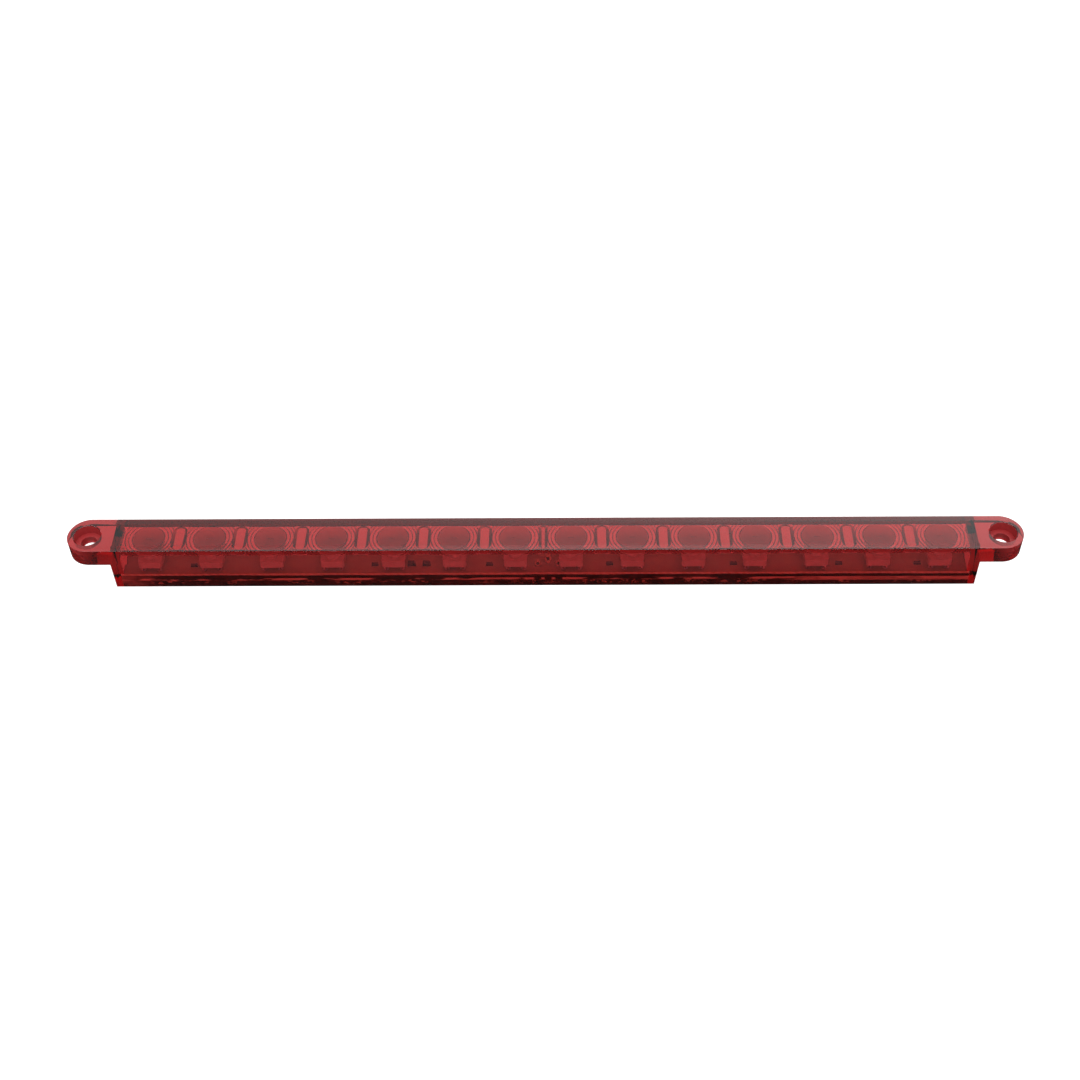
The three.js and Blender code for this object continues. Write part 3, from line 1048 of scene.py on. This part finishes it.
# Black body, two tinned ends and the solder they sit in
def chipMesh(node):
    low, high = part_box(node)
    rise, cap = chipPart["capRise"], chipPart["cap"]
    inset = Vector((cap / 2, rise, rise))
    groups = [(0, blockShape(low + inset, high - inset))]
    tall = high.z if node.startswith("resistor") else low.z + (high.z - low.z) * chipPart["diodeCap"]
    for ends in ((low.x, low.x + cap), (high.x - cap, high.x)):
        groups.append((1, blockShape((ends[0], low.y, low.z), (ends[1], high.y, tall))))
    for x, side in ((low.x, -1), (high.x, 1)):
        reach = x + side * chipPart["fillet"]
        near = x - side * chipPart["edgeRound"]
        shape = bmesh.new()
        for y in (low.y, high.y):
            for x, z in ((reach, low.z), (near, low.z), (near, low.z + chipPart["filletRise"] * (tall - low.z))):
                shape.verts.new((x, y, z))
        shape.verts.ensure_lookup_table()
        for face in ((0, 1, 2), (3, 5, 4), (0, 2, 5, 3), (1, 4, 5, 2), (0, 3, 4, 1)):
            shape.faces.new([shape.verts[i] for i in face])
        bmesh.ops.recalc_face_normals(shape, faces=shape.faces)
        groups.append((1, shape))
    whole = bmesh.new()
    for slotIndex, shape in groups:
        roundEdges(shape, chipPart["edgeRound"], segments=2)
        for face in shape.faces:
            face.material_index = slotIndex
        mesh = meshFromBmesh("part", shape)
        whole.from_mesh(mesh)
        bpy.data.meshes.remove(mesh)
    return meshFromBmesh(node + "_chip", whole)


def buildSmallParts():
    names = sorted(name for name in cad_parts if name.startswith(("resistor_", "diode_")))
    for node in names:
        piece = linkPiece(node + "_chip", chipMesh(node))
        setMaterials(piece, chipBlack, metalDull)
        smoothByAngle(piece.data, 40)
        placePiece(piece, "resistors" if node.startswith("resistor") else "diodes", node)
    print("small parts built:", len(names))


buildSmallParts()


eyelet = {
    "bore": 0.5 * mm,
    "barrel": 0.74 * mm,
    "curl": 0.12 * mm,
    "curlSteps": 8,
    "seatOverlap": 0.04 * mm,
    "innerRound": 0.3,
    "segments": 40,
}


# Rolled flange on a short tube
def buildEyelets():
    for node in ("ground_lead_eyelet", "tail_lead_eyelet", "stop_lead_eyelet"):
        low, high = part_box(node)
        flange = (high.x - low.x) / 2
        curl, bore, inner = eyelet["curl"], eyelet["bore"], eyelet["curl"] * eyelet["innerRound"]
        seat = high.z - 2 * curl + eyelet["seatOverlap"]
        profile = [(bore, low.z), (eyelet["barrel"], low.z), (eyelet["barrel"], seat), (flange - curl, seat)]
        for i in range(1, eyelet["curlSteps"]):
            angle = (i / eyelet["curlSteps"] - 0.5) * math.pi
            profile.append((flange - curl + curl * math.cos(angle), high.z - curl + curl * math.sin(angle)))
        profile += [(bore + curl, high.z), (bore + inner, high.z - inner), (bore, high.z - curl)]
        shape = turnedShape(profile + [profile[0]], eyelet["segments"])
        bmesh.ops.remove_doubles(shape, verts=shape.verts, dist=1e-7)
        bmesh.ops.recalc_face_normals(shape, faces=shape.faces)
        centre = (low + high) / 2
        moveShape(shape, Vector((centre.x, centre.y, 0)))
        piece = linkPiece(node.replace("_lead", "") + "_turned", meshFromBmesh(node, shape))
        smoothByAngle(piece.data, 40)
        setMaterials(piece, metalBrass)
        placePiece(piece, "eyelets", node)
    print("eyelets built")


buildEyelets()


grommet = {
    "fingerWidth": 2.6 * mm,
    "bore": 0.8 * mm,
    "boreChamfer": 0.2 * mm,
    "boreSegments": 40,
    "bridgeY": 0.9 * mm,
    "edgeRound": 0.15 * mm,
    "steps": 20,
    "pocketGap": 0.03 * mm,
}
leadCentres = [boxCentre(name + "_lead_eyelet") for name in ("ground", "tail", "stop")]


# Three round-nosed fingers side by side, joined along the back
def fingerOutline(margin):
    low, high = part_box("lead_grommet")
    radius = grommet["fingerWidth"] / 2 + margin
    noseY = low.y + grommet["fingerWidth"] / 2
    outline = [(leadCentres[0].x - radius, high.y + margin)]
    for i, centre in enumerate(leadCentres):
        for step in range(grommet["steps"] + 1):
            angle = math.pi * (1 + step / grommet["steps"])
            outline.append((centre.x + radius * math.cos(angle), noseY + radius * math.sin(angle)))
        if i < len(leadCentres) - 1:
            outline.append((centre.x + radius, grommet["bridgeY"] - margin))
            outline.append((leadCentres[i + 1].x - radius, grommet["bridgeY"] - margin))
    outline.append((leadCentres[-1].x + radius, high.y + margin))
    return outline


# Each finger has a bore up to its eyelet
def buildGrommet():
    low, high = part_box("lead_grommet")
    outline = fingerOutline(0)
    shape = loftShape([[Vector((x, y, z)) for x, y in outline] for z in (low.z, high.z)])
    roundEdges(shape, grommet["edgeRound"], segments=2, degrees=40)
    piece = linkPiece("lead_grommet_moulding", meshFromBmesh("lead_grommet_moulding", shape))
    radius, chamfer = grommet["bore"], grommet["boreChamfer"]
    profile = [
        (0, low.z - bite),
        (radius + chamfer + bite, low.z - bite),
        (radius, low.z + chamfer),
        (radius, high.z + bite),
        (0, high.z + bite),
    ]
    for centre in leadCentres:
        bore = moveShape(turnedShape(profile, grommet["boreSegments"]), Vector((centre.x, centre.y, 0)))
        combine(piece, linkPiece("bore", meshFromBmesh("bore", bore)), "DIFFERENCE")
    smoothByAngle(piece.data, 35)
    setMaterials(piece, rubberBlack)
    placePiece(piece, "lead_grommet", "lead_grommet")
    print("grommet built")


buildGrommet()


compound = {
    "gridX": 420,
    "gridY": 22,
    "wallGap": 0.02 * mm,
    "lift": 0.01 * mm,
    "sag": 0.22 * mm,
    "climb": 0.9 * mm,
    "ripple": 0.05 * mm,
    "rippleScale": (90, 160, 0.3),  # the third number only picks another part of the noise
    "lipTop": 4.2 * mm,
    "lipWave": 0.25 * mm,
    "lipScale": (120, 40, 1.7),
    "lipThickness": 0.1 * mm,
}


def waveAt(x, y, scale):
    return noise.noise(Vector((x * scale[0], y * scale[1], scale[2])))


# Poured block: its open side sags between the rims, and a thin lip climbs round the board's edge
def buildCompound():
    halfX = cavityHalfX - compound["wallGap"]
    halfY = cavityHalfY - compound["wallGap"]
    low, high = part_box("potting_compound")
    countX, countY = compound["gridX"], compound["gridY"]

    def easedEdge(share):
        return math.sin((share - 0.5) * math.pi)

    def backZ(x, y):
        fromWall = min(halfX - abs(x), halfY - abs(y))
        hollow = compound["sag"] + compound["ripple"] * waveAt(x, y, compound["rippleScale"])
        return low.z + compound["lift"] + hollow * (1 - math.exp(-fromWall / compound["climb"]))

    shape = bmesh.new()
    rows = []
    for i in range(countX + 1):
        x = halfX * (2 * i / countX - 1)
        row = []
        for j in range(countY + 1):
            y = halfY * easedEdge(j / countY)
            row.append(shape.verts.new((x, y, max(backZ(x, y), low.z))))
        rows.append(row)
    for i in range(countX):
        for j in range(countY):
            shape.faces.new((rows[i][j], rows[i][j + 1], rows[i + 1][j + 1], rows[i + 1][j]))
    rim = [rows[i][0] for i in range(countX + 1)]
    rim += [rows[countX][j] for j in range(1, countY + 1)]
    rim += [rows[i][countY] for i in range(countX - 1, -1, -1)]
    rim += [rows[0][j] for j in range(countY - 1, 0, -1)]

    def ringAt(inset, heightOf):
        ring = []
        for vertex in rim:
            x, y = vertex.co.x, vertex.co.y
            x = math.copysign(min(abs(x), halfX - inset), x)
            y = math.copysign(min(abs(y), halfY - inset), y)
            ring.append(shape.verts.new((x, y, heightOf(vertex.co.x, vertex.co.y))))
        return ring

    def lipZ(x, y):
        return compound["lipTop"] + compound["lipWave"] * waveAt(x, y, compound["lipScale"])

    rings = [
        rim,
        ringAt(0, lipZ),
        ringAt(compound["lipThickness"], lipZ),
        ringAt(compound["lipThickness"], lambda x, y: high.z),
    ]
    for lower, upper in zip(rings, rings[1:]):
        for i in range(len(rim)):
            j = (i + 1) % len(rim)
            shape.faces.new((lower[i], lower[j], upper[j], upper[i]))
    shape.faces.new(rings[-1])
    for vertex in shape.verts:
        if vertex.co.y < tolerance - halfY:
            vertex.co.y -= 2 * compound["wallGap"]  # stuck to the front wall
    bmesh.ops.remove_doubles(shape, verts=shape.verts, dist=1e-7)
    bmesh.ops.recalc_face_normals(shape, faces=shape.faces)
    piece = linkPiece("poured_compound", meshFromBmesh("poured_compound", shape))
    outline = fingerOutline(grommet["pocketGap"])
    pocket = loftShape([[Vector((x, y, z)) for x, y in outline] for z in (-bite, high.z + bite)])
    combine(piece, linkPiece("pocket", meshFromBmesh("pocket", pocket)), "DIFFERENCE")
    smoothByAngle(piece.data, 35)
    setMaterials(piece, epoxyBlack, epoxyWettedWithGlints)
    for polygon in piece.data.polygons:
        polygon.material_index = 1 if polygon.normal.y < -0.5 and polygon.center.y < -halfY else 0
    placePiece(piece, "potting_compound", "potting_compound")
    print("compound poured:", len(piece.data.polygons), "faces")


buildCompound()


# The sky's strength goes by height: below the horizon, just over it, above that and overhead
stage = {
    "floorSize": 40.0,
    "floorDepth": 0.02,
    "floorGap": 0.1 * mm,
    "skyBelow": 0.03,
    "skyRim": 0.8,
    "skyAbove": 1.1,
    "skyOverhead": 2.0,
    "skyTilt": 0.32,
    "rimBand": (-0.1, 0.02),
    "riseBand": (0.02, 0.4),
    "overheadBand": (0.8, 0.95),
    "tiltBand": (-0.28, 0.28),
}


def buildStage():
    half = stage["floorSize"] / 2
    shape = blockShape((-half, -half, -stage["floorDepth"]), (half, half, -stage["floorGap"]))
    floor = linkPiece("floor", meshFromBmesh("floor", shape))
    setMaterials(floor, makeFloor())

    world = bpy.data.worlds.new("softStudio")
    scene.world = world
    world.use_nodes = True
    tree = world.node_tree
    background = tree.nodes["Background"]
    way = splitPlace(tree, "Generated")
    rim = spread(tree, way["Z"], stage["skyBelow"], stage["skyRim"], *stage["rimBand"])
    rise = spread(tree, way["Z"], 1, stage["skyAbove"] / stage["skyRim"], *stage["riseBand"])
    overhead = spread(tree, way["Z"], 1, stage["skyOverhead"], *stage["overheadBand"])
    tilt = spread(tree, way["X"], 1 - stage["skyTilt"], 1 + stage["skyTilt"], *stage["tiltBand"])
    tree.links.new(multiply(tree, rim, rise, tilt, overhead), background.inputs["Strength"])
    background.inputs["Color"].default_value = (1, 1, 1, 1)


keyLight = {"at": (-0.45, -0.7, 0.95), "size": 1.7, "power": 8.0}


def placeKeyLight():
    data = bpy.data.lights.new("key", "AREA")
    data.shape = "DISK"
    data.size = keyLight["size"]
    data.energy = keyLight["power"]
    light = bpy.data.objects.new("key", data)
    scene.collection.objects.link(light)
    light.location = keyLight["at"]
    light.rotation_euler = (-Vector(keyLight["at"])).to_track_quat("-Z", "Y").to_euler()


buildStage()
placeKeyLight()
scene.view_settings.view_transform = "Standard"
print("stage and lights ready")
